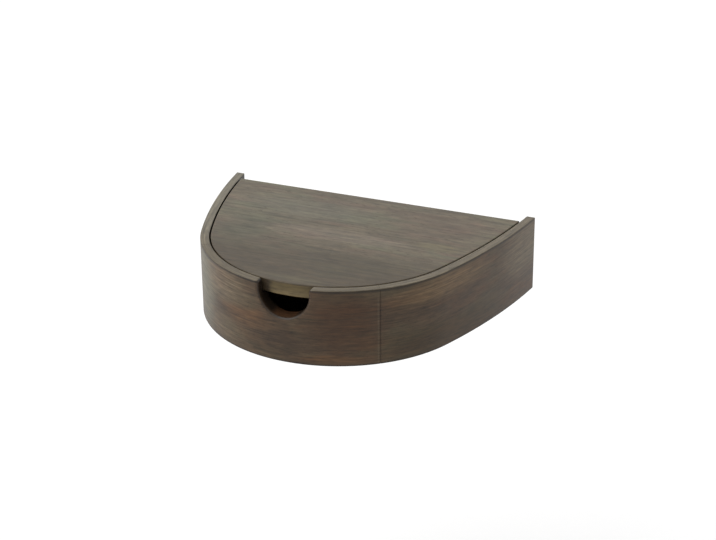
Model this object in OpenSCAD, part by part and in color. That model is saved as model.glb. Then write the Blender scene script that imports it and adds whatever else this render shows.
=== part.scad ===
// Half-round bedside table for a wall: a curved drawer slides out from under a fixed top.
// X runs to the right, Y towards the wall and Z up. The wall is at Y = 0, and the origin is
// midway between the two wall screws. All sizes are in millimetres.

/* [Outline] */
// Width over the drawer's two ends, at the wall
width = 450; // [430:5:490]
// Depth of the curved rim, from its ends to its front
depth = 330; // [305:5:360]
// Height of the curved rim
height = 105; // [100:1:130]
// Radius of the front of the rim
front_r = 187.5; // [178:0.5:198]
// Radius of the two long sides of the rim
side_r = 839; // [760:1:1100]
// Space between the wall and the ends of the rim
wall_gap = 1; // [0.5:0.5:3]

/* [Rim] */
// Thickness of the curved rim, up to the ledge under the top
rim_t = 22; // [19:0.5:25]
// Thickness of the rim's lip, which stands round the top
lip_t = 12; // [10:0.5:14]
// Gap between the top and the ledge under it
ledge_gap = 2; // [1:0.5:4]
// Length along the rim from the middle of the front to the right glue line
right_seam_run = 126; // [105:1:140]
// Length along the rim from the middle of the front to the left glue line
left_seam_run = 179; // [160:1:195]
// Diameter of the dowels across the glue lines
seam_dowel_d = 6; // [5:0.5:7]
// Length of the dowels across the glue lines
seam_dowel_l = 30; // [20:1:34]
// Distance of those dowels from the ledge and from the drawer's bottom
seam_dowel_inset = 21; // [15:1:28]

/* [Finger notch] */
// Width of the notch
notch_w = 69; // [55:1:80]
// Depth of the notch below the rim's upper edge
notch_depth = 43.5; // [41:0.5:50]
// Radius that eases the notch's two upper corners
notch_corner_r = 4.5; // [1:0.5:6]

/* [Top] */
// Thickness of the top
top_t = 18; // [15:0.5:22]
// Gap between the top and the rim's lip
top_gap = 2; // [1.5:0.5:4]
// Room for the cleats between the wall and the back board
cleat_room = 21; // [20:0.5:26]

/* [Back and hangers] */
// Thickness of the back board
board_t = 18; // [15:0.5:22]
// Height of the back board's lower edge above the rim's lower edge
board_lift = 10; // [2:1:20]
// Clearance between the back board and the rim, to each side
board_clear = 4; // [2:0.5:10]
// Thickness of the two hangers
hanger_t = 16; // [13:0.5:19]
// How far the hangers run past the front of the closed slides
hanger_past = 1; // [0:0.5:3]
// Clearance between a hanger's front corner and the rim
hanger_clear = 2.5; // [1:0.5:5]
// Clearance between a hanger and the drawer's bottom
hanger_lift = 4; // [2:0.5:8]
// Diameter of the dowels under the top
dowel_d = 8; // [6:0.5:9]
// Length of the dowels under the top
dowel_l = 26; // [20:1:28]
// Distance of a row's outer dowels from the end of the board
dowel_inset = 15; // [12:1:20]
// Distance between the two middle dowels of the back board
dowel_pitch = 180; // [160:5:200]

/* [Wall cleats] */
// Thickness of both cleats
cleat_t = 20; // [17:0.5:20]
// Length of both cleats
cleat_l = 360; // [335:5:370]
// Height of the wall cleat on its wall side
cleat_h = 28; // [24:1:32]
// Distance between the two wall screws
wall_screw_pitch = 300; // [200:10:330]
// Diameter of the wall screw holes
wall_screw_d = 5; // [4:0.5:6]
// Diameter of their countersinks
wall_screw_head_d = 10; // [8:0.5:12]
// Height of the wall screws above the wall cleat's lower edge
wall_screw_h = 14; // [11:0.5:16]
// Height of the wall cleat's lower edge above the rim's lower edge
cleat_lift = 12; // [6:1:16]

/* [Drawer] */
// Thickness of the drawer's bottom
bottom_t = 6; // [4:0.5:8]
// Height of the drawer's bottom above the rim's lower edge
bottom_lift = 6; // [5:0.5:10]
// Depth of the groove in the rim that holds the bottom
groove_d = 6; // [4:0.5:7]
// Thickness of the drawer's two sides and its back
box_t = 12; // [10:0.5:15]
// Space between the top and the upper edges of the drawer's sides
box_clear = 7; // [4:0.5:14]
// Space between the closed drawer and the back board
stop_gap = 3; // [2:0.5:6]
// Diameter of the pads that the closed drawer meets
pad_d = 12; // [8:0.5:20]
// Distance of each pad from the middle
pad_x = 70; // [45:1:80]

/* [Slides] */
// Length of a closed slide
slide_l = 200; // [180:1:205]
// Width of a slide, from hanger to drawer side
slide_w = 12.7; // [12.7:0.1:13.5]
// Height of a slide
slide_h = 45; // [44:0.5:48]
// Height of the slides' middle above the rim's lower edge
slide_lift = 50; // [48:0.5:52]
// Thickness of the slides' steel
steel_t = 1.2; // [1:0.1:1.3]
// Diameter of the balls
ball_d = 3.5; // [3:0.1:3.8]
// Clearance between a ball and each track
ball_play = 0.15; // [0.1:0.05:0.2]
// Number of balls in each row
ball_n = 6; // [4:1:6]
// Distance between balls in a row
ball_pitch = 15; // [10:0.5:17]
// Thickness of the strips that hold the balls
cage_t = 0.8; // [0.5:0.1:1]

/* [Screws] */
// Diameter of the slide screws
slide_screw_d = 3.5; // [3:0.1:4]
// Diameter of the slide screws' heads
slide_screw_head_d = 7; // [6:0.1:8]
// Height of the slide screws' heads
slide_screw_head_h = 1.4; // [1:0.1:1.5]
// Length of the slide screws in the wood
slide_screw_l = 9; // [7:0.5:9.5]
// Distance of the slide screws from the slide's ends
slide_screw_inset = 25; // [15:1:40]
// Diameter of the wood screws
wood_screw_d = 4; // [3:0.1:4.5]
// Diameter of the wood screws' heads
wood_screw_head_d = 8; // [6:0.1:8.5]
// Length of the screws from the back board into the hangers
hanger_screw_l = 50; // [40:1:60]
// Length of the screws from the hanging cleat into the back board
cleat_screw_l = 34; // [30:1:35]
// Distance of the outer cleat screws from the cleat's ends
cleat_screw_inset = 25; // [20:1:30]
// Distance between the two middle cleat screws
cleat_screw_pitch = 110; // [80:5:130]
// Diameter of the drawer box's screws
box_screw_d = 3; // [2.5:0.1:3.5]
// Diameter of their heads
box_screw_head_d = 6; // [5:0.1:6.5]
// Length of the screws through a drawer side into the drawer back
side_screw_l = 35; // [25:1:45]
// Length of the screws through the bottom into the box
bottom_screw_l = 20; // [16:1:24]
// Distance of the box's screws from its edges
box_screw_inset = 8; // [7:0.5:9]

/* [Hidden] */
$fn = 48;
large_fn = 360;

// How far a cut runs past a face
past = 1;
// Clearance round glued dowels and wood screws, and half the thickness of a glue line
glue = 0.05;
// Clearance of a sliding or push fit
fit = 0.1;
// Clearance between two curved faces of the drawer
seat = 0.2;

// Heights, counted from the wall screws
base_z = -cleat_lift - wall_screw_h;
rim_top_z = base_z + height;
top_under_z = rim_top_z - top_t;
ledge_z = top_under_z - ledge_gap;
bottom_z = base_z + bottom_lift;
box_z = bottom_z + bottom_t;
box_top_z = top_under_z - box_clear;
board_z = base_z + board_lift;
hanger_z = box_z + hanger_lift;
slide_z = base_z + slide_lift;
cleat_z = base_z + cleat_lift;

// Distances from the wall
rim_end_y = -wall_gap;
board_back_y = -cleat_room;
board_front_y = board_back_y - board_t;
box_back_y = board_front_y - stop_gap;
slide_front_y = box_back_y - slide_l;
hanger_front_y = slide_front_y - hanger_past;

// The rim's outline: a front arc that runs over into a long arc on each side
front_c = [0, rim_end_y - depth + front_r];
half_w = width / 2;
arc_rise = depth - front_r;
r_step = side_r - front_r;
corner_run = norm([half_w, arc_rise]);
corner_sine = (side_r ^ 2 - r_step ^ 2 - corner_run ^ 2) / (2 * r_step * corner_run);
tangent_a = atan2(arc_rise, half_w) + asin(corner_sine);
side_c = front_c + r_step * [-sin(tangent_a), cos(tangent_a)];
right_seam_a = right_seam_run / front_r * 180 / PI;
left_seam_a = left_seam_run / front_r * 180 / PI;
glue_a = glue / front_r * 180 / PI;

// Half the width inside an outline that lies inset from the rim's outer face, at a given Y
function tangent_y(inset) = front_c.y - (front_r - inset) * cos(tangent_a);
function front_half(inset, y) = sqrt((front_r - inset) ^ 2 - (y - front_c.y) ^ 2);
function side_half(inset, y) = side_c.x + sqrt((side_r - inset) ^ 2 - (y - side_c.y) ^ 2);
function half_at(inset, y) = y < tangent_y(inset) ? front_half(inset, y) : side_half(inset, y);

// The straight box and the slides, set out from the rim inwards to a tenth of a millimetre
function to_tenth(x) = floor(10 * x) / 10;
hanger_out_x = to_tenth(half_at(rim_t, hanger_front_y) - hanger_clear);
hanger_in_x = hanger_out_x - hanger_t;
box_out_x = hanger_in_x - slide_w;
box_in_x = box_out_x - box_t;
board_half = to_tenth(half_at(rim_t, board_front_y) - board_clear);

// Sizes of the nested slide members. Across a slide, distances count from the hanger.
running = 0.3;
lip_l = 3;
mouth = 3.7;
lip_clear = 0.7;
flange_clear = 0.9;
cage_gap = 0.35;
track = ball_d + 2 * ball_play;
middle_h = slide_h - 2 * (steel_t + track);
inner_h = middle_h - 2 * (steel_t + track);
flange_l = slide_w - mouth;
middle_u = steel_t + slide_screw_head_h + running;
middle_end_u = slide_w - steel_t - lip_clear;
inner_u = middle_u + steel_t + flange_clear;
outer_cage_u = [steel_t + cage_gap, flange_l - steel_t - cage_gap];
inner_cage_u = [middle_u + steel_t + cage_gap, middle_end_u - steel_t - cage_gap];
outer_row_z = slide_h / 2 - steel_t - track / 2;
inner_row_z = middle_h / 2 - steel_t - track / 2;
cage_margin = 7.5;
cage_l = (ball_n - 1) * ball_pitch + 2 * cage_margin;
cage_back_y = box_back_y - (slide_l - cage_l) / 2;

// Where the fasteners sit
slide_screw_y = [
  box_back_y - slide_screw_inset,
  box_back_y - slide_l / 2,
  slide_front_y + slide_screw_inset
];
hanger_x = (hanger_in_x + hanger_out_x) / 2;
side_x = (box_in_x + box_out_x) / 2;
board_dowel_x = [board_half - dowel_inset, dowel_pitch / 2];
hanger_dowel_back_y = board_back_y - hanger_screw_l - dowel_inset;
hanger_dowel_front_y = hanger_front_y + 2 * dowel_inset;
hanger_dowel_y = [
  hanger_dowel_back_y,
  (hanger_dowel_back_y + hanger_dowel_front_y) / 2,
  hanger_dowel_front_y
];
cleat_screw_x = [cleat_l / 2 - cleat_screw_inset, cleat_screw_pitch / 2];
cleat_screw_z = top_under_z - (top_under_z - hook_z(board_back_y)) / 2;
hanger_screw_z = [slide_z - inner_row_z - wood_screw_d, slide_z + inner_row_z + wood_screw_d];
back_screw_z = [box_z + box_screw_inset, box_top_z - box_screw_inset];
bottom_screw_y = [
  box_back_y - box_t - box_screw_inset,
  (box_back_y + slide_front_y) / 2,
  slide_front_y
];
seam_dowel_z = [box_z + seam_dowel_inset, ledge_z - seam_dowel_inset];

// Height of the sloping hook face between the two cleats, at a given Y
function hook_z(y) = cleat_z + cleat_h - y;

// Repeats a right-hand piece on the left
module both_sides() {
  children();
  mirror([1, 0, 0]) children();
}

// The area inside the outline, as far back as back_y
module outline_area(inset, back_y) {
  join_y = tangent_y(inset);
  intersection() {
    translate(front_c) circle(front_r - inset, $fn = large_fn);
    translate([-width, join_y - depth]) square([2 * width, depth]);
  }
  intersection() {
    translate(side_c) circle(side_r - inset, $fn = large_fn * 4);
    translate([-side_c.x, side_c.y]) circle(side_r - inset, $fn = large_fn * 4);
    translate([-width, join_y]) square([2 * width, back_y - join_y]);
  }
}

// The area of the whole rim
module rim_area() {
  difference() {
    outline_area(0, rim_end_y);
    outline_area(rim_t, rim_end_y + past);
  }
}

// The way from the middle of the front arc to a point at this angle from the front
function way(angle) = [sin(angle), -cos(angle)];

// The area of the rim's front segment, between the two glue lines
module front_wall_area() {
  right = width * way(right_seam_a - glue_a);
  left = width * way(glue_a - left_seam_a);
  intersection() {
    rim_area();
    polygon([front_c, front_c + right, front_c + [right.x, -width], front_c + [left.x, -width],
      front_c + left]);
  }
}

// The area of a side segment on the right, from its glue line to the wall
module side_wall_area(seam_a) {
  reach = width * way(seam_a + glue_a);
  intersection() {
    rim_area();
    polygon([front_c, front_c + reach, [width, reach.y], [width, width], [0, width]]);
  }
}

// The rebate above the ledge, which makes room for the top
module top_rebate() {
  translate([0, 0, ledge_z]) linear_extrude(height) outline_area(lip_t, rim_end_y + past);
}

// The groove that the drawer's bottom sits in
module bottom_groove() {
  translate([0, 0, bottom_z - fit])
    linear_extrude(bottom_t + 2 * fit)
      outline_area(rim_t - groove_d, box_back_y + fit);
}

// A plain dowel that stands on its middle, along Z
module dowel(d, l) {
  cylinder(d = d, h = l, center = true);
}

// Places things along the rim, at a glue line on the right
module at_seam(seam_a, z) {
  translate([front_c.x, front_c.y, z])
    rotate(seam_a)
      translate([0, -front_r + rim_t / 2, 0])
        rotate([0, 90, 0]) children();
}

module seam_dowel_set(seam_a, spare) {
  for (z = seam_dowel_z)
    at_seam(seam_a, z) dowel(seam_dowel_d + 2 * spare, seam_dowel_l + 4 * spare);
}

// A countersunk screw whose head is flush with Z = 0 and whose point is down
module countersunk(d, head_d, l) {
  rotate([180, 0, 0]) {
    cylinder(d1 = head_d, d2 = d, h = (head_d - d) / 2);
    cylinder(d = d, h = l);
  }
}

// The hole for such a screw
module countersunk_hole(d, head_d, l) {
  countersunk(d + 2 * glue, head_d + 2 * glue, l + past);
  cylinder(d = head_d + 2 * glue, h = past);
}

// A low round-headed screw whose head stands on Z = 0 and whose point is down
module pan_screw() {
  cylinder(d = slide_screw_head_d, h = slide_screw_head_h);
  translate([0, 0, -steel_t - slide_screw_l])
    cylinder(d = slide_screw_d, h = steel_t + slide_screw_l + glue);
}

module pan_screw_hole() {
  translate([0, 0, -steel_t - slide_screw_l - past])
    cylinder(d = slide_screw_d + 2 * fit, h = steel_t + slide_screw_l + 2 * past);
}

// Places a slide screw on the left hanger, pointing out into it
module at_outer_screws() {
  for (y = slide_screw_y)
    translate([-hanger_in_x + steel_t, y, slide_z]) rotate([0, 90, 0]) children();
}

// Places a slide screw on the left drawer side, pointing in into it
module at_inner_screws() {
  for (y = slide_screw_y)
    translate([-box_out_x - steel_t, y, slide_z]) rotate([0, -90, 0]) children();
}

// Places the screws that go from the back board into the right hanger
module at_hanger_screws() {
  for (z = hanger_screw_z)
    translate([hanger_x, board_back_y, z]) rotate([-90, 0, 0]) children();
}

module at_cleat_screws() {
  for (x = cleat_screw_x)
    translate([x, board_back_y + cleat_t, cleat_screw_z]) rotate([-90, 0, 0]) children();
}

// Places the screws that go through the right drawer side into the drawer's back
module at_side_screws() {
  for (z = back_screw_z)
    translate([box_out_x, box_back_y - box_t / 2, z]) rotate([0, 90, 0]) children();
}

// Places the screws that go up through the bottom into the right drawer side
module at_bottom_screws() {
  for (y = bottom_screw_y)
    translate([side_x, y, bottom_z]) rotate([180, 0, 0]) children();
}

module at_board_dowels() {
  for (x = board_dowel_x)
    translate([x, (board_back_y + board_front_y) / 2, top_under_z]) children();
}

module at_hanger_dowels() {
  for (y = hanger_dowel_y) translate([hanger_x, y, top_under_z]) children();
}

// All the dowels under the top, or with some spare their holes
module top_dowel_set(spare) {
  both_sides() {
    at_board_dowels() dowel(dowel_d + 2 * spare, dowel_l + 4 * spare);
    at_hanger_dowels() dowel(dowel_d + 2 * spare, dowel_l + 4 * spare);
  }
}

// Section of a steel channel that opens towards +X, with its web at X = 0
module channel_section(h, flange, lip) {
  translate([0, -h / 2]) square([steel_t, h]);
  for (m = [0, 1]) mirror([0, m]) {
    translate([0, h / 2 - steel_t]) square([flange, steel_t]);
    translate([flange - steel_t, h / 2 - lip]) square([steel_t, lip]);
  }
}

// Runs a section forward from the back of the left slide.
// The section's X counts from the hanger towards the drawer, and its Y from the slide's middle.
module along_slide(back_y, l) {
  translate([-hanger_in_x, back_y, slide_z])
    rotate([90, 0, 0])
      linear_extrude(l) children();
}

module slide_outer() {
  color("lightsteelblue") difference() {
    along_slide(box_back_y, slide_l) channel_section(slide_h, flange_l, lip_l);
    at_outer_screws() pan_screw_hole();
  }
}

module slide_middle() {
  color("silver")
    along_slide(box_back_y, slide_l)
      translate([middle_u, 0]) channel_section(middle_h, middle_end_u - middle_u, lip_l);
}

module slide_inner() {
  color("lightsteelblue") difference() {
    along_slide(box_back_y, slide_l)
      translate([slide_w, 0])
        mirror([1, 0]) channel_section(inner_h, slide_w - inner_u, steel_t);
    at_inner_screws() pan_screw_hole();
  }
}

// Places one ball or hole at each place of the upper and lower rows
module at_balls(u, row_z) {
  for (i = [0 : ball_n - 1], side = [-1, 1])
    translate([
      -hanger_in_x + (u[0] + u[1]) / 2,
      cage_back_y - cage_margin - i * ball_pitch,
      slide_z + side * row_z
    ]) children();
}

module ball_cage(u, row_z) {
  color("dimgray") difference() {
    along_slide(cage_back_y, cage_l)
      for (side = [-1, 1])
        translate([u[0], side * row_z - cage_t / 2]) square([u[1] - u[0], cage_t]);
    at_balls(u, row_z) cylinder(d = ball_d + 2 * fit, h = 2 * cage_t, center = true);
  }
}

module balls(u, row_z) {
  color("gainsboro") at_balls(u, row_z) sphere(d = ball_d);
}

// Wooden rail that is screwed to the wall, with its upper edge sloping back down to the wall
module wall_cleat() {
  color("burlywood") difference() {
    translate([cleat_l / 2, 0, 0])
      rotate([90, 0, -90])
        linear_extrude(cleat_l)
          polygon([[0, cleat_z], [cleat_t, cleat_z], [cleat_t, hook_z(-cleat_t)], [0, hook_z(0)]]);
    for (side = [-1, 1])
      translate([side * wall_screw_pitch / 2, -cleat_t, 0]) rotate([90, 0, 0]) {
        translate([0, 0, -cleat_t - past]) cylinder(d = wall_screw_d, h = cleat_t + 2 * past);
        translate([0, 0, -(wall_screw_head_d - wall_screw_d) / 2])
          cylinder(d1 = wall_screw_d, d2 = wall_screw_head_d, h = (wall_screw_head_d - wall_screw_d) / 2);
        cylinder(d = wall_screw_head_d, h = past);
      }
  }
}

// Wooden rail that hooks over the wall cleat
module hanging_cleat() {
  back_y = board_back_y + cleat_t;
  color("burlywood") difference() {
    translate([cleat_l / 2, 0, 0])
      rotate([90, 0, -90])
        linear_extrude(cleat_l)
          polygon([
            [-back_y, hook_z(back_y)], [-board_back_y, hook_z(board_back_y)],
            [-board_back_y, top_under_z], [-back_y, top_under_z]
          ]);
    both_sides() at_cleat_screws() countersunk_hole(wood_screw_d, wood_screw_head_d, cleat_screw_l);
  }
}

module back_board() {
  color("tan") difference() {
    translate([-board_half, board_front_y, board_z])
      cube([2 * board_half, board_t, top_under_z - board_z]);
    top_dowel_set(glue);
    both_sides() {
      at_hanger_screws() countersunk_hole(wood_screw_d, wood_screw_head_d, hanger_screw_l);
      at_cleat_screws() countersunk_hole(wood_screw_d, wood_screw_head_d, cleat_screw_l);
    }
  }
}

module top_panel() {
  color("dimgray") difference() {
    translate([0, 0, top_under_z])
      linear_extrude(top_t) outline_area(lip_t + top_gap, board_back_y);
    top_dowel_set(glue);
  }
}

module hanger() {
  color("tan") difference() {
    translate([hanger_in_x, hanger_front_y, hanger_z])
      cube([hanger_t, board_front_y - hanger_front_y, top_under_z - hanger_z]);
    top_dowel_set(glue);
    at_hanger_screws() countersunk_hole(wood_screw_d, wood_screw_head_d, hanger_screw_l);
    mirror([1, 0, 0]) at_outer_screws() pan_screw_hole();
  }
}

module top_dowels() {
  color("wheat") top_dowel_set(0);
}

module hanger_screws() {
  color("silver") both_sides()
    at_hanger_screws() countersunk(wood_screw_d, wood_screw_head_d, hanger_screw_l);
}

module cleat_screws() {
  color("silver") both_sides()
    at_cleat_screws() countersunk(wood_screw_d, wood_screw_head_d, cleat_screw_l);
}

module stop_pads() {
  color("black") both_sides()
    translate([pad_x, board_front_y, slide_z])
      rotate([90, 0, 0]) cylinder(d = pad_d, h = stop_gap - running);
}

module outer_slide_screws() {
  color("silver") both_sides() at_outer_screws() pan_screw();
}

module inner_slide_screws() {
  color("silver") both_sides() at_inner_screws() pan_screw();
}

// The finger notch, seen from the front: a U with eased upper corners. The U's straight part
// limits their radius.
module notch_area() {
  half = notch_w / 2;
  low = rim_top_z - notch_depth;
  corner_r = min(notch_corner_r, notch_depth - half);
  corner_z = rim_top_z - corner_r;
  translate([0, low + half]) circle(half);
  translate([-half, low + half]) square([notch_w, notch_depth - half + past]);
  difference() {
    translate([-half - corner_r, corner_z]) square([notch_w + 2 * corner_r, corner_r + past]);
    for (side = [-1, 1]) translate([side * (half + corner_r), corner_z]) circle(corner_r);
  }
}

module front_wall() {
  color("saddlebrown") difference() {
    translate([0, 0, base_z]) linear_extrude(height) front_wall_area();
    top_rebate();
    bottom_groove();
    seam_dowel_set(right_seam_a, glue);
    mirror([1, 0, 0]) seam_dowel_set(left_seam_a, glue);
    translate([0, front_c.y, 0]) rotate([90, 0, 0]) linear_extrude(depth) notch_area();
  }
}

// The right segment, or the left one before it is mirrored
module side_wall(seam_a) {
  color("sienna") difference() {
    translate([0, 0, base_z]) linear_extrude(height) side_wall_area(seam_a);
    top_rebate();
    bottom_groove();
    seam_dowel_set(seam_a, glue);
  }
}

module seam_dowels() {
  color("wheat") {
    seam_dowel_set(right_seam_a, 0);
    mirror([1, 0, 0]) seam_dowel_set(left_seam_a, 0);
  }
}

module drawer_bottom() {
  color("wheat") difference() {
    translate([0, 0, bottom_z])
      linear_extrude(bottom_t) outline_area(rim_t - groove_d + seat, box_back_y);
    both_sides() at_bottom_screws() countersunk_hole(box_screw_d, box_screw_head_d, bottom_screw_l);
  }
}

module drawer_side() {
  color("burlywood") difference() {
    intersection() {
      translate([box_in_x, box_back_y - depth, box_z]) cube([box_t, depth, box_top_z - box_z]);
      translate([0, 0, box_z]) linear_extrude(box_top_z - box_z) outline_area(rim_t + seat, box_back_y);
    }
    at_side_screws() countersunk_hole(box_screw_d, box_screw_head_d, side_screw_l);
    at_bottom_screws() countersunk_hole(box_screw_d, box_screw_head_d, bottom_screw_l);
    mirror([1, 0, 0]) at_inner_screws() pan_screw_hole();
  }
}

module drawer_back() {
  color("burlywood") difference() {
    translate([-box_in_x, box_back_y - box_t, box_z]) cube([2 * box_in_x, box_t, box_top_z - box_z]);
    both_sides() at_side_screws() countersunk_hole(box_screw_d, box_screw_head_d, side_screw_l);
  }
}

module side_screws() {
  color("silver") both_sides() at_side_screws() countersunk(box_screw_d, box_screw_head_d, side_screw_l);
}

module bottom_screws() {
  color("silver") both_sides()
    at_bottom_screws() countersunk(box_screw_d, box_screw_head_d, bottom_screw_l);
}

wall_cleat();
hanging_cleat();
back_board();
top_panel();
mirror([1, 0, 0]) hanger();  // hanger_left
hanger();  // hanger_right
top_dowels();
hanger_screws();
cleat_screws();
stop_pads();
slide_outer();  // slide_outer_left
mirror([1, 0, 0]) slide_outer();  // slide_outer_right
outer_slide_screws();
front_wall();
mirror([1, 0, 0]) side_wall(left_seam_a);  // left_wall
side_wall(right_seam_a);  // right_wall
seam_dowels();
drawer_bottom();
mirror([1, 0, 0]) drawer_side();  // drawer_side_left
drawer_side();  // drawer_side_right
drawer_back();
side_screws();
bottom_screws();
slide_inner();  // slide_inner_left
mirror([1, 0, 0]) slide_inner();  // slide_inner_right
inner_slide_screws();
slide_middle();  // slide_middle_left
mirror([1, 0, 0]) slide_middle();  // slide_middle_right
ball_cage(outer_cage_u, outer_row_z);  // ball_cage_outer_left
mirror([1, 0, 0]) ball_cage(outer_cage_u, outer_row_z);  // ball_cage_outer_right
ball_cage(inner_cage_u, inner_row_z);  // ball_cage_inner_left
mirror([1, 0, 0]) ball_cage(inner_cage_u, inner_row_z);  // ball_cage_inner_right
balls(outer_cage_u, outer_row_z);  // balls_outer_left
mirror([1, 0, 0]) balls(outer_cage_u, outer_row_z);  // balls_outer_right
balls(inner_cage_u, inner_row_z);  // balls_inner_left
mirror([1, 0, 0]) balls(inner_cage_u, inner_row_z);  // balls_inner_right
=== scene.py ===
import math

import bmesh
import bpy
import numpy as np
from mathutils import Matrix, Vector


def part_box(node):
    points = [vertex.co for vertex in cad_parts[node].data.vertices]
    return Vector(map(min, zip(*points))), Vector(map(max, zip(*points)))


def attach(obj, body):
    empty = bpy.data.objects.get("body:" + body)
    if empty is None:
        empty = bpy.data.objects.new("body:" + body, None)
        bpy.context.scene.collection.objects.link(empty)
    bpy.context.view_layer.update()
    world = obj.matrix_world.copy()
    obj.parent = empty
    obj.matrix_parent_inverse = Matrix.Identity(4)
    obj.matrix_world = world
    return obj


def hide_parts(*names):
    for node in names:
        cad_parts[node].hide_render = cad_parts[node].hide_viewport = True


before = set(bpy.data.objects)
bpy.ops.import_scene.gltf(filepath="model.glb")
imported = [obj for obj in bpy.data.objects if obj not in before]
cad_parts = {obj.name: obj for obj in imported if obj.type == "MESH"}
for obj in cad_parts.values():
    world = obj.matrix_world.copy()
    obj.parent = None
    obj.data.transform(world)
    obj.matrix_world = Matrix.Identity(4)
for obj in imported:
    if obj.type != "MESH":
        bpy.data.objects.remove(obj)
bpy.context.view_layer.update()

# Half-round bedside table: a curved drawer that slides out from under a fixed top on a wall.
# Lengths are in metres, X to the right, Y towards the wall and Z up.

MM = 0.001

# Sizes that the frame's boxes don't give
FRONT_R = 187.5 * MM
SIDE_R = 839 * MM
RIM_T = 22 * MM
LIP_T = 12 * MM
LEDGE_GAP = 2 * MM
TOP_GAP = 2 * MM
RIGHT_SEAM_RUN = 126 * MM
LEFT_SEAM_RUN = 179 * MM
GLUE = 0.05 * MM
NOTCH_W = 69 * MM
NOTCH_DEPTH = 43.5 * MM
NOTCH_CORNER_R = 4.5 * MM
GROOVE_D = 6 * MM
GROOVE_PLAY = 0.1 * MM

# How far each kind of edge is rounded over
RIM_OUTER_EASE = 1.1 * MM
RIM_INNER_EASE = 0.9 * MM
RIM_END_EASE = 1.8 * MM
NOTCH_EASE = 4.0 * MM
SEAM_EASE = 0.45 * MM
TOP_EASE = 1.2 * MM
TOP_UNDER_EASE = 0.8 * MM
BOARD_EASE = 0.7 * MM
STEEL_EASE = 0.25 * MM
# Width of the flat strip beside a rounded edge that keeps the flat face's shading flat
SUPPORT = 0.35 * MM
# Smallest radius that an edge keeps where a section shrinks towards a rounded end
LEAST_EASE = 0.1 * MM
# Length over which the ledge's inner edge turns into the notch's, and the gap between rows there
CORNER_BLEND = 3 * MM
ROW_STEP = 0.15 * MM
# Rows of points on the rim's outer and inner face, and steps round each of its edges
OUTER_ROWS, INNER_ROWS, EDGE_STEPS = 12, 10, 4
# Distance between sections of the side and front segments, and the least one beside the notch
SIDE_SPACING = 2.5 * MM
FRONT_SPACING = 2 * MM
LEAST_SPACING = 0.5 * MM
# Length beside the notch over which the runs at the foot even out
FOOT_SPREAD = 20 * MM
# How far in from its rounded edge the top's flat face starts
TOP_FACE_INSET = 10 * MM
# Faces that meet at a smaller turn than these are shaded as one: on worked-out shapes, and on
# copies of CAD nodes
SHELL_TURN, COPY_TURN = math.radians(40), math.radians(30)
# In those copies, points this close are merged, faces this level are joined, and edges that turn
# more than the last angle are rounded over
MERGE, LEVEL_TURN, SQUARE_TURN = 0.001 * MM, math.radians(0.2), math.radians(60)

# Places read from the frame
front_low, front_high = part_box("front_wall")
rim_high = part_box("right_wall")[1]
top_low, top_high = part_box("top_panel")
bottom_low, bottom_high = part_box("drawer_bottom")
base_z = front_low.z
rim_top_z = front_high.z
ledge_z = top_low.z - LEDGE_GAP
notch_z = rim_top_z - NOTCH_DEPTH
half_width = rim_high.x
end_y = rim_high.y

# The outline's two centres and the angle at which its front arc runs over into the side arc
front_cy = front_low.y + FRONT_R
arc_rise = end_y - front_cy
radius_step = SIDE_R - FRONT_R
corner_run = math.hypot(half_width, arc_rise)
corner_sine = (SIDE_R**2 - radius_step**2 - corner_run**2) / (2 * radius_step * corner_run)
tangent_a = math.atan2(arc_rise, half_width) + math.asin(corner_sine)
tangent_run = FRONT_R * tangent_a
side_cx = -radius_step * math.sin(tangent_a)
side_cy = front_cy + radius_step * math.cos(tangent_a)


def outline(run):
    """Point and outward direction on the rim's outer face, for runs along it from the front's middle.

    Up to the tangent, the point turns about the front centre by run / FRONT_R. Past it, the point
    turns about the side centre by a further (run - tangent run) / SIDE_R. The left mirrors the right.
    """
    side = np.where(run < 0, -1.0, 1.0)
    length = np.abs(run)
    on_side = length > tangent_run
    angle = np.minimum(length, tangent_run) / FRONT_R + np.maximum(length - tangent_run, 0) / SIDE_R
    radius = np.where(on_side, SIDE_R, FRONT_R)
    centre_x = np.where(on_side, side_cx, 0.0)
    centre_y = np.where(on_side, side_cy, front_cy)
    out_x = side * np.sin(angle)
    out_y = -np.cos(angle)
    return side * centre_x + radius * out_x, centre_y + radius * out_y, out_x, out_y


def bent(run, depth, z):
    """Places a run along the rim, a depth below its outer face and a height, as X, Y and Z."""
    x, y, out_x, out_y = outline(run)
    return np.stack(np.broadcast_arrays(x - out_x * depth, y - out_y * depth, z), axis=-1)


def end_run(depth):
    """Run at which a layer this deep in the rim meets the plane of the rim's ends.

    On the side arc, the cosine of the angle is the centre's distance from that plane over the
    layer's radius.
    """
    return tangent_run + SIDE_R * (math.acos((side_cy - end_y) / (SIDE_R - depth)) - tangent_a)


def quarter(steps):
    """Sines and cosines of a quarter turn, from 0 to 90 degrees in equal steps."""
    angle = np.linspace(0, math.pi / 2, steps + 1)
    return np.sin(angle), np.cos(angle)


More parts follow.
